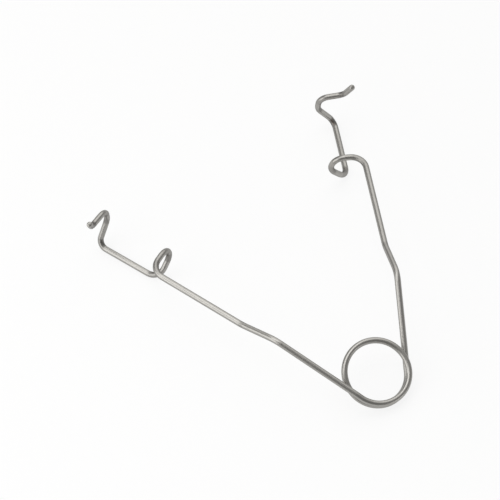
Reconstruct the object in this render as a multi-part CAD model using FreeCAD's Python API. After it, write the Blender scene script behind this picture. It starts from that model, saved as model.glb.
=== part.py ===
"""Wire eye speculum: one round steel wire, wound once and a third into a spring and bent
into two lid blades.

The frame is the one the speculum lies in on a table: +X runs from the coil towards the
lids, +Y to the first (left) arm, +Z up. The origin is the centre of the coil, on its axis.
Millimetres and degrees throughout.
"""

import FreeCAD
import Part

import math
import os

Vector = FreeCAD.Vector

# Wire
wire_diameter = 0.85
tip_end_rounding = 0.3          # the cut end of the wire is rolled over by this radius

# Spring coil, and how it leans back when the speculum lies on its blades
coil_mean_diameter = 8.7
coil_pitch = 1.1
coil_lean_angle = 23.9          # between the coil's axis and +Z
leg_splay_angle = 25.5          # each leg's angle from the middle, in the coil's plane

# Spring legs, from the coil to the shoulder where finger and thumb press
leg_length = 13.58
leg_drop = 0.13                 # shoulder below the coil's middle plane
lead_length = 0.5               # easy bend where a leg leaves the coil

# Finger step, from the shoulder down to the arm
step_length = 6.03
step_splay_angle = 18.7
step_fall_angle = 16.15

# Arm and blade lie side by side in one upright plane
blade_splay_angle = 22.7
arm_length = 15.27
arm_rise_angle = 3.0
bar_length = 10.65
bar_rise_angle = 0.8

# Lid loop: each corner measured from the one before, from the arm's end down and round
# the lid margin to the bar
loop_top_forward = 0.32
loop_top_inward = 3.83
loop_top_rise = 0.11
loop_nose_forward = 0.18
loop_nose_inward = 1.17
loop_nose_down = 2.45
loop_foot_forward = 0.33
loop_foot_outward = 2.83
loop_foot_down = 3.21

# Lid hook: each corner measured from the one before, from the bar's end back up and
# round the lid margin to the turned-up tip
hook_nose_backward = 0.23
hook_nose_inward = 2.4
hook_nose_up = 3.62
hook_top_backward = 0.23
hook_top_outward = 0.27
hook_top_up = 2.58
tip_root_backward = 0.3
tip_root_outward = 3.51
tip_root_up = 0.36
tip_end_backward = 0.96
tip_end_outward = 1.2
tip_end_up = 2.59

# Bend radii, at the middle of the wire
shoulder_radius = 3.2
heel_radius = 3.1
loop_entry_radius = 2.1
loop_top_radius = 2.15
loop_nose_radius = 2.45
loop_foot_radius = 2.1
hook_foot_radius = 1.3
hook_nose_radius = 2.25
hook_top_radius = 1.6
tip_radius = 0.75
longest_bend_share = 0.97       # two neighbouring bends leave a little straight wire between
coil_arcs = 4                   # each half of the coil is drawn as this many tangent arcs

# Worked out from the sizes above
wire_radius = wire_diameter / 2
coil_radius = coil_mean_diameter / 2
coil_turn = 540 - 2 * leg_splay_angle
coil_height = coil_pitch * coil_turn / 360
coil_placement = FreeCAD.Placement(Vector(), FreeCAD.Rotation(Vector(0, 1, 0), -coil_lean_angle))


def direction(azimuth, elevation):
    """Unit vector at an angle from +X in the table's plane and an angle above it."""
    level = math.cos(math.radians(elevation))
    return Vector(
        level * math.cos(math.radians(azimuth)),
        level * math.sin(math.radians(azimuth)),
        math.sin(math.radians(elevation)),
    )


def blade_step(forward, outward, up):
    """Vector given along the blade, away from the other arm, and up."""
    along = direction(blade_splay_angle, 0)
    across = direction(blade_splay_angle + 90, 0)
    return along * forward + across * outward + Vector(0, 0, up)


def mirrored(point, side):
    """The same point on the left arm (side 1) or the right arm (side -1)."""
    return Vector(point.x, point.y * side, point.z)


def coil_point(turned):
    """Point of the lower half of the coil's centre line, by its angle from the right leg."""
    angle = math.radians(270 - leg_splay_angle - turned)
    height = -coil_height / 2 + coil_pitch * turned / 360
    return Vector(coil_radius * math.cos(angle), coil_radius * math.sin(angle), height)


def coil_path():
    """Arcs of the coil's lower half, from the right leg to the middle of its front."""
    arc_turn = coil_turn / 2 / coil_arcs
    arcs = []
    for number in range(coil_arcs):
        turned = [arc_turn * (number + share) for share in (0, 0.5, 1)]
        arcs.append(Part.Arc(*[coil_point(angle) for angle in turned]).toShape())
    return arcs


def coil_end(side):
    """Where the wire leaves the coil to an arm, and the way it is heading there."""
    first = coil_path()[0]
    point = first.valueAt(first.FirstParameter)
    heading = first.tangentAt(first.FirstParameter) * -1
    if side > 0:
        point = Vector(point.x, -point.y, -point.z)
        heading = Vector(heading.x, -heading.y, -heading.z)
    return coil_placement.multVec(point), coil_placement.multVec(heading)


def shoulder_point():
    """Corner of the shoulder bend of the left arm, just under the coil's middle plane."""
    splay = math.radians(leg_splay_angle)
    level = Vector(
        -coil_radius * math.sin(splay) + leg_length * math.cos(splay),
        coil_radius * math.cos(splay) + leg_length * math.sin(splay),
        -leg_drop,
    )
    return coil_placement.multVec(level)


def arm_corners():
    """Corners of the left arm's centre line from the shoulder to the tip's end."""
    corners = {}
    corners["shoulder"] = shoulder_point()
    step = direction(step_splay_angle, -step_fall_angle) * step_length
    corners["heel"] = corners["shoulder"] + step
    arm = direction(blade_splay_angle, arm_rise_angle) * arm_length
    corners["loop_entry"] = corners["heel"] + arm
    corners["loop_top"] = corners["loop_entry"] + blade_step(
        loop_top_forward, -loop_top_inward, loop_top_rise
    )
    corners["loop_nose"] = corners["loop_top"] + blade_step(
        loop_nose_forward, -loop_nose_inward, -loop_nose_down
    )
    corners["loop_foot"] = corners["loop_nose"] + blade_step(
        loop_foot_forward, loop_foot_outward, -loop_foot_down
    )
    bar = direction(blade_splay_angle, bar_rise_angle) * bar_length
    corners["hook_foot"] = corners["loop_foot"] + bar
    corners["hook_nose"] = corners["hook_foot"] + blade_step(
        -hook_nose_backward, -hook_nose_inward, hook_nose_up
    )
    corners["hook_top"] = corners["hook_nose"] + blade_step(
        -hook_top_backward, hook_top_outward, hook_top_up
    )
    corners["tip_root"] = corners["hook_top"] + blade_step(
        -tip_root_backward, tip_root_outward, tip_root_up
    )
    corners["tip_end"] = corners["tip_root"] + blade_step(
        -tip_end_backward, tip_end_outward, tip_end_up
    )
    return corners


def bend_radii():
    """Radius of each bend of an arm, by the name of its corner."""
    return {
        "shoulder": shoulder_radius,
        "heel": heel_radius,
        "loop_entry": loop_entry_radius,
        "loop_top": loop_top_radius,
        "loop_nose": loop_nose_radius,
        "loop_foot": loop_foot_radius,
        "hook_foot": hook_foot_radius,
        "hook_nose": hook_nose_radius,
        "hook_top": hook_top_radius,
        "tip_root": tip_radius,
    }


def turn_at(before, corner, after):
    """Angle, in radians, that the wire turns through at a corner."""
    return (corner - before).getAngle(after - corner)


def round_corner(before, corner, after, reach):
    """Start, middle and end of the arc that starts and ends at a reach from a corner."""
    coming = (corner - before).normalize()
    going = (after - corner).normalize()
    turn = coming.getAngle(going)
    inward = (going - coming).normalize()
    sagitta = reach * math.tan(turn / 4)
    return corner - coming * reach, corner + inward * sagitta, corner + going * reach


def bend_reaches(chain, radii):
    """How far each bend reaches from its corner, no more than the runs beside it hold."""
    reaches = {}
    for (_, before), (name, corner), (_, after) in zip(chain, chain[1:], chain[2:]):
        reaches[name] = radii[name] * math.tan(turn_at(before, corner, after) / 2)
    for (name, corner), (next_name, next_corner) in zip(chain[1:-1], chain[2:-1]):
        room = longest_bend_share * (next_corner - corner).Length
        taken = reaches[name] + reaches[next_name]
        if taken > room:
            reaches[name] *= room / taken
            reaches[next_name] *= room / taken
    return reaches


def arm_bends(side):
    """Every bend of one arm in order: its name, then its arc's start, middle and end."""
    corners = {name: mirrored(point, side) for name, point in arm_corners().items()}
    start, heading = coil_end(side)
    lead_corner = start + heading * lead_length
    chain = [("coil", start), ("lead", lead_corner)] + list(corners.items())
    radii = bend_radii()
    lead_turn = turn_at(start, lead_corner, corners["shoulder"])
    radii["lead"] = lead_length / math.tan(lead_turn / 2)
    reaches = bend_reaches(chain, radii)
    bends = {}
    for (_, before), (name, corner), (_, after) in zip(chain, chain[1:], chain[2:]):
        bends[name] = round_corner(before, corner, after, reaches[name])
    return bends, corners["tip_end"]


def heading_at(start, middle, end):
    """The way the wire heads where an arc starts."""
    arc = Part.Arc(start, middle, end).toShape()
    return arc.tangentAt(arc.FirstParameter)


class WireBender:
    """Forms a length of wire as a bending machine does, feeding it out and turning it.

    It holds where the wire has got to, the way it heads, and one direction square to that,
    which turns with the wire so that every piece's section starts at the same place."""

    def __init__(self, start, heading):
        self.point = start
        self.heading = Vector(heading).normalize()
        helper = Vector(0, 0, 1) if abs(heading.z) < 0.7 else Vector(0, 1, 0)
        self.mark = self.heading.cross(helper).normalize()
        self.pieces = []

    def section(self):
        """Circle round the wire at its end so far, from the mark on its skin."""
        out = self.mark * wire_radius
        over = self.heading.cross(self.mark) * wire_radius
        return Part.Circle(self.point + out, self.point + over, self.point - out)

    def feed(self, end):
        """Straight wire on to a point ahead."""
        face = Part.Face(Part.Wire(self.section().toShape()))
        self.pieces.append(face.extrude(end - self.point))
        self.point = end

    def bend(self, middle, end):
        """Wire bent round an arc that leaves in the present heading."""
        centre = Part.Arc(self.point, middle, end).toShape().Curve.Center
        axis = (self.point - centre).cross(self.heading).normalize()
        turn = math.degrees((self.point - centre).getAngle(end - centre))
        face = Part.Face(Part.Wire(self.section().toBSpline().toShape()))
        self.pieces.append(face.revolve(centre, axis, turn))
        rotation = FreeCAD.Rotation(axis, turn)
        self.heading = rotation.multVec(self.heading)
        self.mark = rotation.multVec(self.mark)
        self.point = end

    def solid(self):
        """All the wire formed so far as one solid."""
        if len(self.pieces) == 1:
            return self.pieces[0]
        return self.pieces[0].fuse(self.pieces[1:]).Solids[0]


def bent_section(bends, names, end=None):
    """Wire through the named bends, and on in a straight line to an end if one is given."""
    start, middle, _ = bends[names[0]]
    bender = WireBender(start, heading_at(start, middle, bends[names[0]][2]))
    for name in names:
        start, middle, finish = bends[name]
        if (start - bender.point).Length > 0:
            bender.feed(start)
        bender.bend(middle, finish)
    if end is not None:
        bender.feed(end)
    return bender.solid()


def straight_section(start, end):
    """Straight wire between two points."""
    run = end - start
    return Part.makeCylinder(wire_radius, run.Length, start, run)


def tip(start, end):
    """Straight tip of the wire with its cut end rolled over."""
    blank = straight_section(start, end)
    rim = min(
        (edge for edge in blank.Edges if edge.Curve.TypeId == "Part::GeomCircle"),
        key=lambda edge: (edge.Curve.Center - end).Length,
    )
    return blank.makeFillet(min(tip_end_rounding, 0.95 * wire_radius), [rim]).Solids[0]


def coil_half(side):
    """Half of the coil: the lower turn (side -1) from the right leg to the middle of the
    coil's front, or the same turned over about X as the upper turn (side 1)."""
    path = Part.Wire(coil_path())
    first = path.Edges[0]
    heading = first.tangentAt(first.FirstParameter)
    section = Part.makeCircle(wire_radius, first.valueAt(first.FirstParameter), heading)
    turn = path.makePipeShell([Part.Wire(section.Curve.toBSpline().toShape())], True, False)
    if side > 0:
        turn.rotate(Vector(), Vector(1, 0, 0), 180)
    turn.Placement = coil_placement.multiply(turn.Placement)
    return turn


def arm_parts(side):
    """The seven lengths of one arm, from the coil outwards."""
    bends, end = arm_bends(side)
    return {
        "spring_leg": bent_section(bends, ["lead"], bends["shoulder"][0]),
        "finger_step": bent_section(bends, ["shoulder", "heel"]),
        "arm": straight_section(bends["heel"][2], bends["loop_entry"][0]),
        "lid_loop": bent_section(bends, ["loop_entry", "loop_top", "loop_nose", "loop_foot"]),
        "lid_bar": straight_section(bends["loop_foot"][2], bends["hook_foot"][0]),
        "lid_hook": bent_section(bends, ["hook_foot", "hook_nose", "hook_top", "tip_root"]),
        "tip": tip(bends["tip_root"][2], end),
    }


def all_parts():
    """Every node of the speculum by name."""
    parts = {"coil_upper_turn": coil_half(1), "coil_lower_turn": coil_half(-1)}
    for word, side in (("left", 1), ("right", -1)):
        for name, shape in arm_parts(side).items():
            parts[word + "_" + name] = shape
    return parts


os.makedirs("parts", exist_ok=True)
for node, shape in all_parts().items():
    shape.exportStep("parts/" + node + ".step")
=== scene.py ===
"""Wire eye speculum of satin drawn spring wire, lying on a pale table under soft light.

The speculum is one wire. It is drawn here length by length along its own centre line, one
piece for each CAD node of the arms and three for the spring coil. The frame is the CAD one:
+X runs from the coil towards the lids, +Y to the left arm, +Z up. Everything is in metres
and radians, with millimetres and degrees written out through MM and DEG.
"""

import logging
import math
from dataclasses import dataclass, field
from enum import Enum

import bpy
from mathutils import Matrix, Vector

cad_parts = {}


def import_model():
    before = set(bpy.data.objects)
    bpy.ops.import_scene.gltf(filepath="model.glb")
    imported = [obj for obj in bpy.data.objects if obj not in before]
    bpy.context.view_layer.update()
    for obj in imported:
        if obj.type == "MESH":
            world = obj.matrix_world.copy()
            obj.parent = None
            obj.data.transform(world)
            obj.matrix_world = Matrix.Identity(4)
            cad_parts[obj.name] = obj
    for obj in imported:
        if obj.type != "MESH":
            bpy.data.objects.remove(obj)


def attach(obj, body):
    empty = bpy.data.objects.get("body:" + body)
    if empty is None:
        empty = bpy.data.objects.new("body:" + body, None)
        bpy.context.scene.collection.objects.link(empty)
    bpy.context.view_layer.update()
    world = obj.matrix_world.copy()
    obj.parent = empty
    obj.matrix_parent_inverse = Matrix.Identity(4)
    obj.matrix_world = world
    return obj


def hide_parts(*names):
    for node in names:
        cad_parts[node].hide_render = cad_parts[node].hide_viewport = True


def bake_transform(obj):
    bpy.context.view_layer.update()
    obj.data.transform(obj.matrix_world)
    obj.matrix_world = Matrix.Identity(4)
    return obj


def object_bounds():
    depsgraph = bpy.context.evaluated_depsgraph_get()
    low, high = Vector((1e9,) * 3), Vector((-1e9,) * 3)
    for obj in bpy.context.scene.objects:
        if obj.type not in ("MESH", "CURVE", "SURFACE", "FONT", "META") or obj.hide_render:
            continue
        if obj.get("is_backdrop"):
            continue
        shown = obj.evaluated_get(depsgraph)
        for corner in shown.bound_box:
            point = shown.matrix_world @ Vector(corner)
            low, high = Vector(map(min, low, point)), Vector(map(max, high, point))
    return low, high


MM = 0.001
DEG = math.pi / 180.0
LOG = logging.getLogger("speculum")


def direction_from(azimuth: float, elevation: float) -> Vector:
    """Unit vector towards a place seen round the speculum, from -Y at azimuth 0 over +X."""
    level = math.cos(elevation)
    return Vector(
        (math.sin(azimuth) * level, -math.cos(azimuth) * level, math.sin(elevation))
    )


def mixed(
    tree: bpy.types.NodeTree, kind: str, factor: object, low: object, high: object
) -> bpy.types.NodeSocket:
    """Mixes two colours or numbers.

    Args:
        tree: The material's or the world's tree.
        kind: RGBA or FLOAT.
        factor: A socket or number, 0 for the first.
        low: The first, as a socket, number or colour.
        high: The second.

    Returns:
        The mixed output.
    """
    node = tree.nodes.new("ShaderNodeMix")
    node.data_type = kind
    live = [socket for socket in node.inputs if socket.enabled]
    for value, socket in zip((factor, low, high), live):
        if isinstance(value, bpy.types.NodeSocket):
            tree.links.new(value, socket)
        elif isinstance(value, tuple):
            socket.default_value = (*value, 1.0)
        else:
            socket.default_value = value
    return next(socket for socket in node.outputs if socket.enabled)


class Side(Enum):
    """The two arms, each with the sign of its Y."""

    LEFT = 1
    RIGHT = -1

    @property
    def word(self) -> str:
        """The side's name as the CAD nodes and bodies spell it."""
        return self.name.lower()


class Ray(Enum):
    """The kinds of ray that see the table as its white background."""

    CAMERA = "Is Camera Ray"
    GLOSSY = "Is Glossy Ray"
    TRANSMISSION = "Is Transmission Ray"


@dataclass(frozen=True)
class WireSizes:
    """The drawn wire, its cut ends and how finely it is drawn."""

    diameter: float = 0.85 * MM
    end_rounding: float = 0.3 * MM
    sides: int = 40
    arc_step: float = 3.0 * DEG
    ring_spacing: float = 0.8 * MM
    end_rings: int = 10
    least_bend_rings: int = 4
    mark_run: float = 0.45 * MM
    longest_mark_share: float = 1 / 3
    sharp_radius: float = 1.4 * MM
    same_place: float = 0.0001 * MM

    @property
    def radius(self) -> float:
        """Half of the wire's diameter."""
        return self.diameter / 2


@dataclass(frozen=True)
class CoilSizes:
    """The spring coil and how it leans back over the table."""

    mean_diameter: float = 8.7 * MM
    pitch: float = 1.1 * MM
    lean: float = 23.9 * DEG
    leg_splay: float = 25.5 * DEG

    @property
    def radius(self) -> float:
        """Radius of the coil's centre line."""
        return self.mean_diameter / 2

    @property
    def turn(self) -> float:
        """Angle that the coil winds through from one leg to the other."""
        return 3 * math.pi - 2 * self.leg_splay

    @property
    def height(self) -> float:
        """Rise of the coil's centre line from one leg to the other."""
        return self.pitch * self.turn / (2 * math.pi)

    @property
    def placement(self) -> Matrix:
        """Turn that leans the coil's axis back from +Z towards -X."""
        return Matrix.Rotation(-self.lean, 3, "Y")


@dataclass(frozen=True)
class Step:
    """A run of the blade up to its next corner, and the bend's radius there."""

    forward: float
    outward: float
    up: float
    radius: float = 0.0


@dataclass(frozen=True)
class ArmSizes:
    """Runs and bends of one arm, from the coil out to the turned-up tip."""

    lead_length: float = 0.5 * MM
    leg_length: float = 13.58 * MM
    leg_drop: float = 0.13 * MM
    shoulder_radius: float = 3.2 * MM
    step_length: float = 6.03 * MM
    step_splay: float = 18.7 * DEG
    step_fall: float = 16.15 * DEG
    heel_radius: float = 3.1 * MM
    blade_splay: float = 22.7 * DEG
    arm_length: float = 15.27 * MM
    arm_rise: float = 3.0 * DEG
    loop_entry_radius: float = 2.1 * MM
    loop_top: Step = Step(0.32 * MM, -3.83 * MM, 0.11 * MM, 2.15 * MM)
    loop_nose: Step = Step(0.18 * MM, -1.17 * MM, -2.45 * MM, 2.45 * MM)
    loop_foot: Step = Step(0.33 * MM, 2.83 * MM, -3.21 * MM, 2.1 * MM)
    bar_length: float = 10.65 * MM
    bar_rise: float = 0.8 * DEG
    hook_foot_radius: float = 1.3 * MM
    hook_nose: Step = Step(-0.23 * MM, -2.4 * MM, 3.62 * MM, 2.25 * MM)
    hook_top: Step = Step(-0.23 * MM, 0.27 * MM, 2.58 * MM, 1.6 * MM)
    tip_root: Step = Step(-0.3 * MM, 3.51 * MM, 0.36 * MM, 1.4 * MM)
    tip_end: Step = Step(-0.96 * MM, 1.2 * MM, 2.59 * MM)
    longest_bend_share: float = 0.97


@dataclass(frozen=True)
class WireLength:
    """A working length of an arm: the bends in it, and the bend that it runs straight to."""

    name: str
    bends: tuple[str, ...]
    runs_to: str = ""


@dataclass(frozen=True)
class Station:
    """One ring of the wire: its place, the line on its skin and how it is bent there."""

    point: Vector
    heading: Vector
    mark: Vector
    along: float
    bend: float
    inward: Vector
    scale: float = 1.0

    def turned_back(self) -> "Station":
        """The same ring for a wire that is read the other way."""
        return Station(
            point=self.point,
            heading=-self.heading,
            mark=self.mark,
            along=-self.along,
            bend=self.bend,
            inward=self.inward,
            scale=self.scale,
        )


class WireTracer:
    """Follows a wire's centre line ring by ring and carries a line drawn along its skin."""

    def __init__(self, sizes: WireSizes, start: Station) -> None:
        """Starts a wire from a ring.

        Args:
            sizes: The wire's sizes.
            start: The ring that the wire starts from.
        """
        self.sizes = sizes
        self.stations = [start]

    def step_to(
        self, point: Vector, heading: Vector, bend: float, inward: Vector, scale: float = 1.0
    ) -> None:
        """Adds the next ring.

        Args:
            point: The ring's centre.
            heading: The way the wire runs there.
            bend: How sharply the wire is bent, from 0 on straight wire to 1.
            inward: Unit vector to the inside of the bend, or zero.
            scale: Radius of the ring over the wire's radius.
        """
        last = self.stations[-1]
        mark = last.heading.rotation_difference(heading) @ last.mark
        along = last.along + (point - last.point).length
        self.stations.append(Station(point, heading, mark, along, bend, inward, scale))

    def straight(self, end: Vector) -> None:
        """Runs straight on to a point, unless the wire is there already."""
        last = self.stations[-1]
        run = end - last.point
        if run.length < self.sizes.same_place:
            return
        rings = max(1, math.ceil(run.length / self.sizes.ring_spacing))
        for ring in range(1, rings + 1):
            self.step_to(last.point + run * ring / rings, last.heading, 0.0, Vector())

    def arc(self, end: Vector) -> None:
        """Bends round the arc that leaves in the present heading and ends at a point."""
        first = self.stations[-1]
        chord = end - first.point
        turn = 2 * first.heading.angle(chord)
        axis = first.heading.cross(chord).normalized()
        to_centre = axis.cross(first.heading)
        radius = chord.length / 2 / math.sin(turn / 2)
        centre = first.point + to_centre * radius
        rings = max(self.sizes.least_bend_rings, math.ceil(turn / self.sizes.arc_step))
        run = min(self.sizes.mark_run, radius * turn * self.sizes.longest_mark_share)
        sharpness = min(1.0, self.sizes.sharp_radius / radius)
        for ring in range(1, rings + 1):
            angle = turn * ring / rings
            rotation = Matrix.Rotation(angle, 3, axis)
            inward = rotation @ to_centre
            from_end = radius * min(angle, turn - angle)
            bend = sharpness * min(1.0, from_end / run)
            self.step_to(centre - inward * radius, rotation @ first.heading, bend, inward)

    def rounded_end(self, end: Vector) -> None:
        """Runs straight to the wire's cut end and rolls its edge over."""
        heading = self.stations[-1].heading
        rounding = self.sizes.end_rounding
        self.straight(end - heading * rounding)
        root = self.stations[-1].point
        flat = self.sizes.radius - rounding
        for ring in range(1, self.sizes.end_rings + 1):
            angle = math.pi / 2 * ring / self.sizes.end_rings
            scale = (flat + rounding * math.cos(angle)) / self.sizes.radius
            point = root + heading * rounding * math.sin(angle)
            self.step_to(point, heading, 0.0, Vector(), scale)


class WireSweep:
    """Geometry Nodes tree that turns a wire's centre line into its round skin.

    The centre line is a chain of edges. Its points carry the line on the skin (mark), the
    distance along the wire (along), the bend, its inside (inward) and the ring's scale. The
    skin gets wire_place, a place round and along the wire that its finish follows, and
    bend_side, which is 1 on the inside of a bend and -1 on its outside.
    """

    CARRIED = {
        "mark": "FLOAT_VECTOR",
        "inward": "FLOAT_VECTOR",
        "along": "FLOAT",
        "bend": "FLOAT",
        "scale": "FLOAT",
    }
    DROPPED = ("mark", "inward", "along", "scale", "round")

    def __init__(self) -> None:
        """Builds the tree."""
        self.tree = bpy.data.node_groups.new("Wire sweep", "GeometryNodeTree")
        self.tree.interface.new_socket(
            "Geometry", in_out="INPUT", socket_type="NodeSocketGeometry"
        )
        self.inputs = {
            name: self.tree.interface.new_socket(name, in_out="INPUT", socket_type=kind)
            for name, kind in (
                ("Wire Diameter", "NodeSocketFloat"),
                ("Sides", "NodeSocketInt"),
                ("Finish", "NodeSocketMaterial"),
            )
        }
        self.tree.interface.new_socket(
            "Geometry", in_out="OUTPUT", socket_type="NodeSocketGeometry"
        )
        self._build()

    def _node(self, kind: str, **settings: object) -> bpy.types.Node:
        """Adds a node with its settings."""
        node = self.tree.nodes.new(kind)
        for name, value in settings.items():
            setattr(node, name, value)
        return node

    def _named(self, name: str, kind: str) -> bpy.types.NodeSocket:
        """Output that reads a stored value."""
        node = self._node("GeometryNodeInputNamedAttribute", data_type=kind)
        node.inputs["Name"].default_value = name
        return next(socket for socket in node.outputs if socket.enabled)

    def _carried(self, name: str) -> bpy.types.NodeSocket:
        """Output that reads one of the values carried by the centre line."""
        return self._named(name, self.CARRIED[name])

    def _store(
        self,
        geometry: bpy.types.NodeSocket,
        name: str,
        kind: str,
        value: bpy.types.NodeSocket,
    ) -> bpy.types.NodeSocket:
        """Stores a value on the points of a geometry.

        Args:
            geometry: The geometry's socket.
            name: The attribute's name.
            kind: The attribute's data type.
            value: The socket that gives the value.

        Returns:
            The geometry with the value on it.
        """
        node = self._node("GeometryNodeStoreNamedAttribute", data_type=kind, domain="POINT")
        node.inputs["Name"].default_value = name
        self.tree.links.new(geometry, node.inputs["Geometry"])
        target = next(s for s in node.inputs if s.name == "Value" and s.enabled)
        self.tree.links.new(value, target)
        return node.outputs["Geometry"]

    def _build(self) -> None:
        """Lays out the tree from the centre line to the finished skin."""
        link = self.tree.links.new
        start = self._node("NodeGroupInput")
        curve = self._node("GeometryNodeMeshToCurve")
        link(start.outputs["Geometry"], curve.inputs["Mesh"])
        normals = self._node("GeometryNodeSetCurveNormal", mode="FREE")
        link(curve.outputs["Curve"], normals.inputs["Curve"])
        link(self._carried("mark"), normals.inputs["Normal"])

        radius = self._node("ShaderNodeMath", operation="MULTIPLY")
        link(start.outputs["Wire Diameter"], radius.inputs[0])
        radius.inputs[1].default_value = 0.5
        circle = self._node("GeometryNodeCurvePrimitiveCircle", mode="RADIUS")
        link(start.outputs["Sides"], circle.inputs["Resolution"])
        link(radius.outputs[0], circle.inputs["Radius"])
        place = self._node("GeometryNodeInputPosition")
        section = self._store(
            circle.outputs["Curve"], "round", "FLOAT_VECTOR", place.outputs["Position"]
        )

        skin = self._node("GeometryNodeCurveToMesh")
        link(normals.outputs["Curve"], skin.inputs["Curve"])
        link(section, skin.inputs["Profile Curve"])
        link(self._carried("scale"), skin.inputs["Scale"])
        skin.inputs["Fill Caps"].default_value = True

        along = self._node("ShaderNodeCombineXYZ")
        link(self._carried("along"), along.inputs["Z"])
        wire_place = self._node("ShaderNodeVectorMath", operation="ADD")
        link(self._named("round", "FLOAT_VECTOR"), wire_place.inputs[0])
        link(along.outputs["Vector"], wire_place.inputs[1])
        placed = self._store(
            skin.outputs["Mesh"], "wire_place", "FLOAT_VECTOR", wire_place.outputs["Vector"]
        )
        facing = self._node("ShaderNodeVectorMath", operation="DOT_PRODUCT")
        link(self._node("GeometryNodeInputNormal").outputs["Normal"], facing.inputs[0])
        link(self._carried("inward"), facing.inputs[1])
        sided = self._store(placed, "bend_side", "FLOAT", facing.outputs["Value"])

        smooth = self._node("GeometryNodeSetShadeSmooth")
        link(sided, smooth.inputs["Geometry"])
        realized = self._node("GeometryNodeRealizeInstances")
        link(smooth.outputs["Geometry"], realized.inputs["Geometry"])
        finished = self._node("GeometryNodeSetMaterial")
        link(realized.outputs["Geometry"], finished.inputs["Geometry"])
        link(start.outputs["Finish"], finished.inputs["Material"])
        end = self._node("NodeGroupOutput")
        link(finished.outputs["Geometry"], end.inputs["Geometry"])

    def piece(
        self,
        name: str,
        stations: list[Station],
        sizes: WireSizes,
        finish: bpy.types.Material,
    ) -> bpy.types.Object:
        """Sweeps one length of wire into a plain mesh.

        Args:
            name: The piece's name.
            stations: The rings of its centre line.
            sizes: The wire's sizes.
            finish: Its material.

        Returns:
            The piece, at the world origin with its place in its mesh.
        """
        path = bpy.data.meshes.new(name + "_line")
        last = len(stations) - 1
        path.from_pydata(
            [station.point for station in stations], [(n, n + 1) for n in range(last)], []
        )
        for value, kind in self.CARRIED.items():
            attribute = path.attributes.new(value, kind, "POINT")
            if kind == "FLOAT":
                attribute.data.foreach_set("value", [getattr(s, value) for s in stations])
            else:
                attribute.data.foreach_set(
                    "vector", [part for s in stations for part in getattr(s, value)]
                )
        piece = bpy.data.objects.new(name, path)
        bpy.context.scene.collection.objects.link(piece)
        sweep = piece.modifiers.new("Wire sweep", "NODES")
        sweep.node_group = self.tree
        sweep[self.inputs["Wire Diameter"].identifier] = sizes.diameter
        sweep[self.inputs["Sides"].identifier] = sizes.sides
        sweep[self.inputs["Finish"].identifier] = finish
        depsgraph = bpy.context.evaluated_depsgraph_get()
        skin = bpy.data.meshes.new_from_object(piece.evaluated_get(depsgraph))
        skin.name = name
        piece.modifiers.clear()
        piece.data = skin
        bpy.data.meshes.remove(path)
        for value in self.DROPPED:
            if value in skin.attributes:
                skin.attributes.remove(skin.attributes[value])
        return piece


@dataclass(frozen=True)
class Ramp:
    """Where a mark sets in over a value, and how much it grows for each unit of it."""

    start: float
    gain: float


class NodeGroup:
    """A shader node group with named inputs and outputs, built once."""

    def __init__(self, name: str) -> None:
        """Starts an empty group of that name."""
        self.tree = bpy.data.node_groups.new(name, "ShaderNodeTree")
        self.start = self.tree.nodes.new("NodeGroupInput")
        self.end = self.tree.nodes.new("NodeGroupOutput")

    def takes(self, name: str, kind: str, value: object = None) -> None:
        """Adds an input with a default value."""
        socket = self.tree.interface.new_socket(name, in_out="INPUT", socket_type=kind)
        if value is not None:
            socket.default_value = value

    def gives(self, name: str, kind: str = "NodeSocketFloat") -> None:
        """Adds an output."""
        self.tree.interface.new_socket(name, in_out="OUTPUT", socket_type=kind)

    def math(
        self,
        operation: str,
        first: object,
        second: object = None,
        clamp: bool = False,
    ) -> bpy.types.NodeSocket:
        """Adds a math node.

        Args:
            operation: Name of the operation.
            first: A socket or number.
            second: A socket or number, where the operation takes two.
            clamp: Whether the result is kept between 0 and 1.

        Returns:
            The node's output.
        """
        node = self.tree.nodes.new("ShaderNodeMath")
        node.operation = operation
        node.use_clamp = clamp
        for value, socket in zip((first, second), node.inputs):
            if isinstance(value, bpy.types.NodeSocket):
                self.tree.links.new(value, socket)
            elif value is not None:
                socket.default_value = value
        return node.outputs[0]

    def rise(self, value: object, ramp: Ramp) -> bpy.types.NodeSocket:
        """Share from 0 to 1 that a value reaches on a ramp."""
        above = self.math("SUBTRACT", value, ramp.start)
        return self.math("MULTIPLY", above, ramp.gain, clamp=True)


class DrawnLines:
    """Group for the lines that a drawing die leaves along a wire."""

    DETAIL = 3.0
    RAGGEDNESS = 0.6
    MIDDLE = 0.5

    def build(self) -> bpy.types.NodeTree:
        """Builds the group: a noise that is fine round the wire and long along it."""
        group = NodeGroup("Drawn lines")
        group.takes("Place", "NodeSocketVector")
        group.takes("Line Width", "NodeSocketFloat", 0.1 * MM)
        group.takes("Line Length", "NodeSocketFloat", 5.0 * MM)
        group.takes("Contrast", "NodeSocketFloat", 1.0)
        group.gives("Lines")
        tree, link = group.tree, group.tree.links.new
        across = group.math("DIVIDE", 1.0, group.start.outputs["Line Width"])
        lengthwise = group.math("DIVIDE", 1.0, group.start.outputs["Line Length"])
        stretch = tree.nodes.new("ShaderNodeCombineXYZ")
        link(across, stretch.inputs["X"])
        link(across, stretch.inputs["Y"])
        link(lengthwise, stretch.inputs["Z"])
        place = tree.nodes.new("ShaderNodeVectorMath")
        place.operation = "MULTIPLY"
        link(group.start.outputs["Place"], place.inputs[0])
        link(stretch.outputs["Vector"], place.inputs[1])
        noise = tree.nodes.new("ShaderNodeTexNoise")
        noise.inputs["Scale"].default_value = 1.0
        noise.inputs["Detail"].default_value = self.DETAIL
        noise.inputs["Roughness"].default_value = self.RAGGEDNESS
        link(place.outputs["Vector"], noise.inputs["Vector"])
        centred = group.math("SUBTRACT", noise.outputs["Fac"], self.MIDDLE)
        spread = group.math("MULTIPLY", centred, group.start.outputs["Contrast"])
        link(group.math("ADD", spread, self.MIDDLE, clamp=True), group.end.inputs["Lines"])
        return tree


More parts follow.
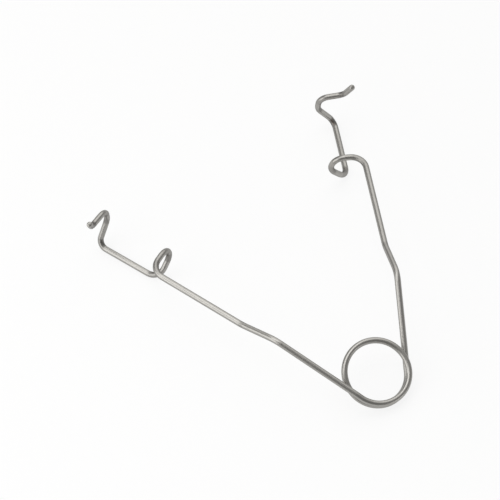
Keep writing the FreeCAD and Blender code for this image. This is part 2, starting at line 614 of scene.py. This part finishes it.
@dataclass(frozen=True)
class BendMarksAndShade:
    """Group for what bending does to a wire, and for the painted shade on its bends.

    Bends are painted darker all round as painted shade. A bend that is made with pliers is
    also rubbed on its inside, and pressed and stained in the groove where it is sharpest.
    """

    # Painted shade: how the darker colour of a bend sets in with its sharpness.
    painted_bend_shade_rise: Ramp = Ramp(0.45, 6.0)
    painted_bend_shade_strength: float = 0.4
    inside: Ramp = Ramp(-0.2, 1.1)
    patch_lift: float = 0.5
    sharp: Ramp = Ramp(0.8, 5.0)
    groove: Ramp = Ramp(0.72, 5.0)
    spots: Ramp = Ramp(0.48, 5.0)
    stain_share: float = 0.8

    def build(self) -> bpy.types.NodeTree:
        """Builds the group.

        Returns:
            The group. It takes how sharp the bend is, the side of the bend and patches,
            and gives the shares of painted bend shade, rubbed metal and pressed metal.
        """
        group = NodeGroup("Bend marks and shade")
        group.takes("Bend", "NodeSocketFloat", 0.0)
        group.takes("Side", "NodeSocketFloat", 0.0)
        group.takes("Patches", "NodeSocketFloat", 0.5)
        group.gives("Worked")
        group.gives("Rubbed")
        group.gives("Pressed")
        link = group.tree.links.new
        bend, side, patches = (
            group.start.outputs[name] for name in ("Bend", "Side", "Patches")
        )

        # Painted shade: share of the darker colour that every sharp bend gets all round.
        painted_bend_shade_rise = group.rise(bend, self.painted_bend_shade_rise)
        link(group.math("MULTIPLY", painted_bend_shade_rise, self.painted_bend_shade_strength), group.end.inputs["Worked"])

        inside = group.rise(side, self.inside)
        lifted = group.math("ADD", patches, self.patch_lift)
        rubbed = group.math("MULTIPLY", inside, bend)
        link(group.math("MULTIPLY", rubbed, lifted, clamp=True), group.end.inputs["Rubbed"])

        sharp, groove = group.rise(bend, self.sharp), group.rise(side, self.groove)
        folded = group.math("MULTIPLY", sharp, groove)
        pressed = group.math("MULTIPLY", folded, group.rise(patches, self.spots))
        link(group.math("MULTIPLY", pressed, self.stain_share), group.end.inputs["Pressed"])
        return group.tree


@dataclass(frozen=True)
class SatinSteel:
    """Satin drawn stainless wire, with its lines, patches and bending marks, and painted
    shade on its bends.
    """

    name: str = "Satin drawn steel"
    light: tuple[float, float, float] = (0.43, 0.42, 0.397)
    dark: tuple[float, float, float] = (0.31, 0.30, 0.282)
    # Painted shade: the darker colour that sharp bends get all round.
    worked: tuple[float, float, float] = (0.25, 0.243, 0.23)
    rubbed: tuple[float, float, float] = (0.19, 0.183, 0.172)
    stained: tuple[float, float, float] = (0.15, 0.118, 0.1)
    rim: tuple[float, float, float] = (0.65, 0.65, 0.65)
    line_width: float = 0.07 * MM
    line_length: float = 3.5 * MM
    patch_width: float = 0.32 * MM
    patch_length: float = 9.0 * MM
    line_contrast: float = 1.3
    patch_contrast: float = 1.8
    line_share: float = 0.45
    smooth: float = 0.24
    rough: float = 0.42
    line_depth: float = 0.004 * MM
    line_relief: float = 0.35

    def build(
        self, lines: bpy.types.NodeTree, marks_and_shade: bpy.types.NodeTree
    ) -> bpy.types.Material:
        """Builds the material.

        Args:
            lines: The group that draws the die lines.
            marks_and_shade: The group that gives the bending marks and the painted shade on
                bends.

        Returns:
            The material.
        """
        material = bpy.data.materials.new(self.name)
        material.use_nodes = True
        tree = material.node_tree
        link = tree.links.new
        shader = tree.nodes["Principled BSDF"]
        shader.inputs["Metallic"].default_value = 1.0
        shader.inputs["Specular Tint"].default_value = (*self.rim, 1.0)

        place = self._attribute(tree, "wire_place").outputs["Vector"]
        fine = self._lines(
            tree, lines, place, self.line_width, self.line_length, self.line_contrast
        )
        broad = self._lines(
            tree, lines, place, self.patch_width, self.patch_length, self.patch_contrast
        )

        bending = tree.nodes.new("ShaderNodeGroup")
        bending.node_tree = marks_and_shade
        link(self._attribute(tree, "bend").outputs["Fac"], bending.inputs["Bend"])
        link(self._attribute(tree, "bend_side").outputs["Fac"], bending.inputs["Side"])
        link(broad, bending.inputs["Patches"])

        both = mixed(tree, "FLOAT", self.line_share, broad, fine)
        drawn = mixed(tree, "RGBA", both, self.dark, self.light)
        # Painted shade: sharp bends are darkened all round.
        with_painted_bend_shade = mixed(tree, "RGBA", bending.outputs["Worked"], drawn, self.worked)
        worn = mixed(tree, "RGBA", bending.outputs["Rubbed"], with_painted_bend_shade, self.rubbed)
        pressed = mixed(tree, "RGBA", bending.outputs["Pressed"], worn, self.stained)
        link(pressed, shader.inputs["Base Color"])

        roughness = mixed(tree, "FLOAT", both, self.rough, self.smooth)
        link(
            mixed(tree, "FLOAT", bending.outputs["Rubbed"], roughness, self.rough),
            shader.inputs["Roughness"],
        )
        bump = tree.nodes.new("ShaderNodeBump")
        bump.inputs["Strength"].default_value = self.line_relief
        bump.inputs["Distance"].default_value = self.line_depth
        link(fine, bump.inputs["Height"])
        link(bump.outputs["Normal"], shader.inputs["Normal"])
        return material

    @staticmethod
    def _attribute(tree: bpy.types.NodeTree, name: str) -> bpy.types.Node:
        """Node that reads one of the skin's attributes."""
        node = tree.nodes.new("ShaderNodeAttribute")
        node.attribute_name = name
        return node

    @staticmethod
    def _lines(
        tree: bpy.types.NodeTree,
        lines: bpy.types.NodeTree,
        place: bpy.types.NodeSocket,
        width: float,
        length: float,
        contrast: float,
    ) -> bpy.types.NodeSocket:
        """Places the group of die lines with its own values.

        Args:
            tree: The material's tree.
            lines: The group.
            place: Place round and along the wire.
            width: Width of one line.
            length: Its length along the wire.
            contrast: How strongly lines differ.

        Returns:
            The value of the lines.
        """
        node = tree.nodes.new("ShaderNodeGroup")
        node.node_tree = lines
        tree.links.new(place, node.inputs["Place"])
        node.inputs["Line Width"].default_value = width
        node.inputs["Line Length"].default_value = length
        node.inputs["Contrast"].default_value = contrast
        return node.outputs["Lines"]


@dataclass
class SpringCoil:
    """The torsion spring: half a turn beside each leg, and the turn between them.

    The middle turn rides on the spring's body, and the half turns are left where they are.
    """

    sizes: CoilSizes
    wire: WireSizes
    body: str = "spring_coil"
    lower_node: str = "coil_lower_turn"
    upper_node: str = "coil_upper_turn"
    spans: dict[str, list[Station]] = field(default_factory=dict)

    def point(self, turned: float) -> Vector:
        """Centre of the wire at an angle wound from the right leg."""
        angle = 1.5 * math.pi - self.sizes.leg_splay - turned
        height = self.sizes.pitch * turned / (2 * math.pi) - self.sizes.height / 2
        level = Vector(
            (self.sizes.radius * math.cos(angle), self.sizes.radius * math.sin(angle), height)
        )
        return self.sizes.placement @ level

    def heading(self, turned: float) -> Vector:
        """The way the wire runs there, from the right leg to the left one."""
        angle = 1.5 * math.pi - self.sizes.leg_splay - turned
        rise = self.sizes.pitch / (2 * math.pi * self.sizes.radius)
        level = Vector((math.sin(angle), -math.cos(angle), rise))
        return (self.sizes.placement @ level).normalized()

    def trace(self) -> None:
        """Draws the rings of the whole coil, from the right leg to the left one."""
        turn = self.sizes.turn
        heading = self.heading(0.0)
        axis = self.sizes.placement @ Vector((0.0, 0.0, 1.0))
        mark = heading.cross(axis).normalized()
        start = Station(self.point(0.0), heading, mark, 0.0, 0.0, Vector())
        tracer = WireTracer(self.wire, start)
        begin = 0.0
        for name, end in (("right", math.pi), ("middle", turn - math.pi), ("left", turn)):
            first = len(tracer.stations) - 1
            rings = math.ceil((end - begin) / self.wire.arc_step)
            for ring in range(1, rings + 1):
                turned = begin + (end - begin) * ring / rings
                tracer.step_to(self.point(turned), self.heading(turned), 0.0, Vector())
            self.spans[name] = tracer.stations[first:]
            begin = end

    def leg_end(self, side: Side) -> Station:
        """The coil's last ring beside a leg, heading out along it."""
        if side is Side.LEFT:
            return self.spans["left"][-1]
        return self.spans["right"][0].turned_back()

    def build(self, sweep: WireSweep, finish: bpy.types.Material) -> list[bpy.types.Object]:
        """Makes the coil's three pieces and hangs the middle one on its body.

        Args:
            sweep: The tree that makes the wire's skin.
            finish: The wire's material.

        Returns:
            The pieces.
        """
        turn = self.sizes.turn
        right = sweep.piece("coil_right_half_turn", self.spans["right"], self.wire, finish)
        middle = sweep.piece("coil_middle_turn", self.spans["middle"], self.wire, finish)
        left = sweep.piece("coil_left_half_turn", self.spans["left"], self.wire, finish)
        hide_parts(self.lower_node)
        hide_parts(self.lower_node, self.upper_node)
        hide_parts(self.upper_node)
        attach(middle, self.body)
        for piece, side, start, end in (
            (right, Side.RIGHT, self.point(math.pi), self.point(0.0)),
            (left, Side.LEFT, self.point(turn - math.pi), self.point(turn)),
        ):
            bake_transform(piece)
        return [right, middle, left]


@dataclass
class Arm:
    """One arm of the speculum, from the coil to the turned-up tip of its blade."""

    side: Side
    sizes: ArmSizes
    coil: SpringCoil
    wire: WireSizes
    lengths: tuple[WireLength, ...] = (
        WireLength("spring_leg", ("lead",), "shoulder"),
        WireLength("finger_step", ("shoulder", "heel")),
        WireLength("arm", (), "loop_entry"),
        WireLength("lid_loop", ("loop_entry", "loop_top", "loop_nose", "loop_foot")),
        WireLength("lid_bar", (), "hook_foot"),
        WireLength("lid_hook", ("hook_foot", "hook_nose", "hook_top", "tip_root")),
    )

    @property
    def body(self) -> str:
        """The CAD body that the arm rides on."""
        return self.side.word + "_arm"

    @staticmethod
    def _direction(azimuth: float, elevation: float) -> Vector:
        """Unit vector at an angle from +X in the table's plane and an angle above it."""
        level = math.cos(elevation)
        return Vector(
            (level * math.cos(azimuth), level * math.sin(azimuth), math.sin(elevation))
        )

    def _blade_step(self, step: Step) -> Vector:
        """A step of the blade as a vector."""
        along = self._direction(self.sizes.blade_splay, 0.0)
        across = self._direction(self.sizes.blade_splay + math.pi / 2, 0.0)
        return along * step.forward + across * step.outward + Vector((0.0, 0.0, step.up))

    def corners(self) -> dict[str, Vector]:
        """Corners of the centre line from the shoulder to the tip's end, in order."""
        sizes, coil = self.sizes, self.coil.sizes
        splay = coil.leg_splay
        level = Vector(
            (
                -coil.radius * math.sin(splay) + sizes.leg_length * math.cos(splay),
                coil.radius * math.cos(splay) + sizes.leg_length * math.sin(splay),
                -sizes.leg_drop,
            )
        )
        point = coil.placement @ level
        corners = {"shoulder": point.copy()}
        falling = self._direction(sizes.step_splay, -sizes.step_fall)
        rising = self._direction(sizes.blade_splay, sizes.arm_rise)
        level_bar = self._direction(sizes.blade_splay, sizes.bar_rise)
        runs = (
            ("heel", falling * sizes.step_length),
            ("loop_entry", rising * sizes.arm_length),
            ("loop_top", self._blade_step(sizes.loop_top)),
            ("loop_nose", self._blade_step(sizes.loop_nose)),
            ("loop_foot", self._blade_step(sizes.loop_foot)),
            ("hook_foot", level_bar * sizes.bar_length),
            ("hook_nose", self._blade_step(sizes.hook_nose)),
            ("hook_top", self._blade_step(sizes.hook_top)),
            ("tip_root", self._blade_step(sizes.tip_root)),
            ("tip_end", self._blade_step(sizes.tip_end)),
        )
        for name, run in runs:
            point = point + run
            corners[name] = point.copy()
        for corner in corners.values():
            corner.y *= self.side.value
        return corners

    def _radii(self) -> dict[str, float]:
        """Radius of each bend by the name of its corner."""
        sizes = self.sizes
        return {
            "shoulder": sizes.shoulder_radius,
            "heel": sizes.heel_radius,
            "loop_entry": sizes.loop_entry_radius,
            "loop_top": sizes.loop_top.radius,
            "loop_nose": sizes.loop_nose.radius,
            "loop_foot": sizes.loop_foot.radius,
            "hook_foot": sizes.hook_foot_radius,
            "hook_nose": sizes.hook_nose.radius,
            "hook_top": sizes.hook_top.radius,
            "tip_root": sizes.tip_root.radius,
        }

    def bends(self, start: Station) -> tuple[dict[str, tuple[Vector, Vector]], Vector]:
        """Where each bend starts and ends.

        Args:
            start: The coil's last ring, heading out to the arm.

        Returns:
            The start and end of each bend in order, by name, and the tip's end.
        """
        lead = start.point + start.heading * self.sizes.lead_length
        chain = [("coil", start.point), ("lead", lead), *self.corners().items()]
        radii = self._radii()
        reaches: dict[str, float] = {}
        for (_, before), (name, corner), (_, after) in zip(chain, chain[1:], chain[2:]):
            turn = (corner - before).angle(after - corner)
            radius = radii.get(name)
            reaches[name] = radius * math.tan(turn / 2) if radius else self.sizes.lead_length
        for (name, corner), (after_name, after) in zip(chain[1:-1], chain[2:-1]):
            room = self.sizes.longest_bend_share * (after - corner).length
            taken = reaches[name] + reaches[after_name]
            if taken > room:
                reaches[name] *= room / taken
                reaches[after_name] *= room / taken
        bends = {}
        for (_, before), (name, corner), (_, after) in zip(chain, chain[1:], chain[2:]):
            coming = (corner - before).normalized() * reaches[name]
            going = (after - corner).normalized() * reaches[name]
            bends[name] = (corner - coming, corner + going)
        return bends, chain[-1][1]

    def trace(self) -> dict[str, list[Station]]:
        """Rings of each length of the arm by the name of its node, from the coil outwards."""
        start = self.coil.leg_end(self.side)
        bends, tip_end = self.bends(start)
        tracer = WireTracer(self.wire, start)
        spans: dict[str, list[Station]] = {}
        for length in self.lengths:
            begin = len(tracer.stations) - 1
            for bend in length.bends:
                bend_start, bend_end = bends[bend]
                tracer.straight(bend_start)
                tracer.arc(bend_end)
            if length.runs_to:
                tracer.straight(bends[length.runs_to][0])
            spans[length.name] = tracer.stations[begin:]
        begin = len(tracer.stations) - 1
        tracer.rounded_end(tip_end)
        spans["tip"] = tracer.stations[begin:]
        return spans

    def build(self, sweep: WireSweep, finish: bpy.types.Material) -> list[bpy.types.Object]:
        """Makes the arm's seven pieces and hangs them on its body.

        Args:
            sweep: The tree that makes the wire's skin.
            finish: The wire's material.

        Returns:
            The pieces.
        """
        pieces = []
        for name, stations in self.trace().items():
            node = self.side.word + "_" + name
            rings = stations
            if self.side is Side.RIGHT:
                rings = [station.turned_back() for station in reversed(stations)]
            piece = sweep.piece(node + "_wire", rings, self.wire, finish)
            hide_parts(node)
            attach(piece, self.body)
            pieces.append(piece)
        return pieces


@dataclass(frozen=True)
class PaleTable:
    """The table top: matt white board that keeps a faint shadow."""

    reach: float = 3.0
    colour: tuple[float, float, float] = (0.86, 0.86, 0.855)
    mottle: tuple[float, float, float] = (0.89, 0.89, 0.885)
    mottle_size: float = 1.5 * MM
    roughness: float = 0.7
    whiteness: float = 0.85

    def build(self, level: float) -> bpy.types.Object:
        """Makes the table top.

        Args:
            level: Height of the surface.

        Returns:
            The table top.
        """
        mesh = bpy.data.meshes.new("table_top")
        reach = self.reach
        corners = [(-reach, -reach), (reach, -reach), (reach, reach), (-reach, reach)]
        mesh.from_pydata([(x, y, level) for x, y in corners], [], [(0, 1, 2, 3)])
        table = bpy.data.objects.new("table_top", mesh)
        bpy.context.scene.collection.objects.link(table)
        mesh.materials.append(self._board())
        table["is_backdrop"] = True
        return table

    def _board(self) -> bpy.types.Material:
        """The board's material, white to the camera and in reflections."""
        material = bpy.data.materials.new("White board")
        material.use_nodes = True
        tree = material.node_tree
        link = tree.links.new
        shader = tree.nodes["Principled BSDF"]
        shader.inputs["Roughness"].default_value = self.roughness
        place = tree.nodes.new("ShaderNodeTexCoord")
        noise = tree.nodes.new("ShaderNodeTexNoise")
        noise.inputs["Scale"].default_value = 1.0 / self.mottle_size
        link(place.outputs["Object"], noise.inputs["Vector"])
        colour = mixed(tree, "RGBA", noise.outputs["Fac"], self.colour, self.mottle)
        link(colour, shader.inputs["Base Color"])
        glow = tree.nodes.new("ShaderNodeEmission")
        path = tree.nodes.new("ShaderNodeLightPath")
        seen = path.outputs[Ray.CAMERA.value]
        for ray in (Ray.GLOSSY, Ray.TRANSMISSION):
            either = tree.nodes.new("ShaderNodeMath")
            either.operation = "MAXIMUM"
            link(seen, either.inputs[0])
            link(path.outputs[ray.value], either.inputs[1])
            seen = either.outputs[0]
        share = tree.nodes.new("ShaderNodeMath")
        share.operation = "MULTIPLY"
        share.inputs[1].default_value = self.whiteness
        link(seen, share.inputs[0])
        blend = tree.nodes.new("ShaderNodeMixShader")
        link(share.outputs[0], blend.inputs["Fac"])
        link(shader.outputs["BSDF"], blend.inputs[1])
        link(glow.outputs["Emission"], blend.inputs[2])
        link(blend.outputs["Shader"], tree.nodes["Material Output"].inputs["Surface"])
        return material


@dataclass(frozen=True)
class SoftBox:
    """A soft lamp that stands round the speculum and faces it."""

    name: str
    azimuth: float
    elevation: float
    distance: float
    width: float
    height: float
    brightness: float

    def build(self, aim: Vector) -> bpy.types.Object:
        """Makes the lamp.

        Args:
            aim: The point that it faces.

        Returns:
            The lamp.
        """
        back = direction_from(self.azimuth, self.elevation)
        light = bpy.data.lights.new(self.name, "AREA")
        light.shape = "RECTANGLE"
        light.size = self.width
        light.size_y = self.height
        light.energy = self.brightness * math.pi * self.width * self.height
        lamp = bpy.data.objects.new(self.name, light)
        lamp.location = aim + back * self.distance
        lamp.rotation_euler = (-back).to_track_quat("-Z", "Y").to_euler()
        bpy.context.scene.collection.objects.link(lamp)
        return lamp


@dataclass(frozen=True)
class RoomSide:
    """A side of the room, and how its brightness differs from the rest."""

    azimuth: float
    elevation: float
    inner: float
    outer: float
    level: float


@dataclass(frozen=True)
class Studio:
    """Room light from a window side, a dark side behind the camera, and the soft lamps."""

    tint: tuple[float, float, float] = (1.0, 0.995, 0.985)
    dim: float = 0.42
    window: RoomSide = RoomSide(47 * DEG, 46 * DEG, 16 * DEG, 43 * DEG, 1.5)
    dark_side: RoomSide = RoomSide(-114 * DEG, 48 * DEG, 18 * DEG, 45 * DEG, 0.26)
    lamps: tuple[SoftBox, ...] = (
        SoftBox("left_softbox", 172 * DEG, 26 * DEG, 0.24, 0.26, 0.2, 1.8),
        SoftBox("overhead_softbox", 140 * DEG, 76 * DEG, 0.34, 0.22, 0.26, 1.8),
        SoftBox("low_softbox", -66 * DEG, 10 * DEG, 0.4, 0.12, 0.1, 1.5),
    )

    def build(self, aim: Vector) -> None:
        """Makes the room light and the lamps.

        Args:
            aim: The point that the lamps face.
        """
        world = bpy.data.worlds.new("Studio room")
        bpy.context.scene.world = world
        world.use_nodes = True
        tree = world.node_tree
        level: object = self.dim
        for side in (self.window, self.dark_side):
            level = mixed(tree, "FLOAT", self._share(tree, side), level, side.level)
        background = tree.nodes["Background"]
        tree.links.new(level, background.inputs["Strength"])
        background.inputs["Color"].default_value = (*self.tint, 1.0)
        for lamp in self.lamps:
            lamp.build(aim)

    @staticmethod
    def _share(tree: bpy.types.NodeTree, side: RoomSide) -> bpy.types.NodeSocket:
        """Share of a room side in each direction, 1 in its middle and 0 outside it."""
        middle = direction_from(side.azimuth, side.elevation)
        place = tree.nodes.new("ShaderNodeTexCoord")
        facing = tree.nodes.new("ShaderNodeVectorMath")
        facing.operation = "DOT_PRODUCT"
        facing.inputs[1].default_value = middle
        tree.links.new(place.outputs["Generated"], facing.inputs[0])
        share = tree.nodes.new("ShaderNodeMapRange")
        share.interpolation_type = "SMOOTHSTEP"
        share.inputs["From Min"].default_value = math.cos(side.outer)
        share.inputs["From Max"].default_value = math.cos(side.inner)
        tree.links.new(facing.outputs["Value"], share.inputs["Value"])
        return share.outputs["Result"]


@dataclass(frozen=True)
class PhotoCamera:
    """The photograph's camera: over the lids' left, looking down at the speculum."""

    azimuth: float = -118.22 * DEG
    elevation: float = 54.58 * DEG
    roll: float = -4.79 * DEG
    distance: float = 281.56 * MM
    aim: tuple[float, float, float] = (26.363 * MM, 3.374 * MM, 0.0)
    focal_length: float = 145.61
    film_width: float = 36.0
    nearest: float = 20 * MM
    farthest: float = 10000 * MM

    def build(self) -> bpy.types.Object:
        """Makes the camera and gives it to the scene."""
        back = direction_from(self.azimuth, self.elevation)
        level = Vector((0.0, 0.0, 1.0)).cross(back).normalized()
        right = Matrix.Rotation(self.roll, 3, back) @ level
        up = back.cross(right)
        lens = bpy.data.cameras.new("photo_camera")
        lens.lens = self.focal_length
        lens.sensor_width = self.film_width
        lens.clip_start = self.nearest
        lens.clip_end = self.farthest
        camera = bpy.data.objects.new("photo_camera", lens)
        camera.matrix_world = Matrix.Translation(
            Vector(self.aim) + back * self.distance
        ) @ Matrix((right, up, back)).transposed().to_4x4()
        bpy.context.scene.collection.objects.link(camera)
        bpy.context.scene.camera = camera
        return camera


def main() -> None:
    """Builds the speculum's pieces, the table, the light and the camera."""
    logging.basicConfig(level=logging.INFO, format="%(name)s: %(message)s")
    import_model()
    cad_box = [list(corner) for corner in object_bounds()]
    bpy.context.scene.view_settings.view_transform = "Standard"

    wire = WireSizes()
    sweep = WireSweep()
    finish = SatinSteel().build(DrawnLines().build(), BendMarksAndShade().build())
    coil = SpringCoil(CoilSizes(), wire)
    coil.trace()
    pieces = coil.build(sweep, finish)
    for side in Side:
        pieces += Arm(side, ArmSizes(), coil, wire).build(sweep, finish)
    for piece in pieces:
        LOG.info("%s: %d faces", piece.name, len(piece.data.polygons))

    camera = PhotoCamera()
    PaleTable().build(cad_box[0][2])
    Studio().build(Vector(camera.aim))
    camera.build()


if __name__ == "__main__":
    main()
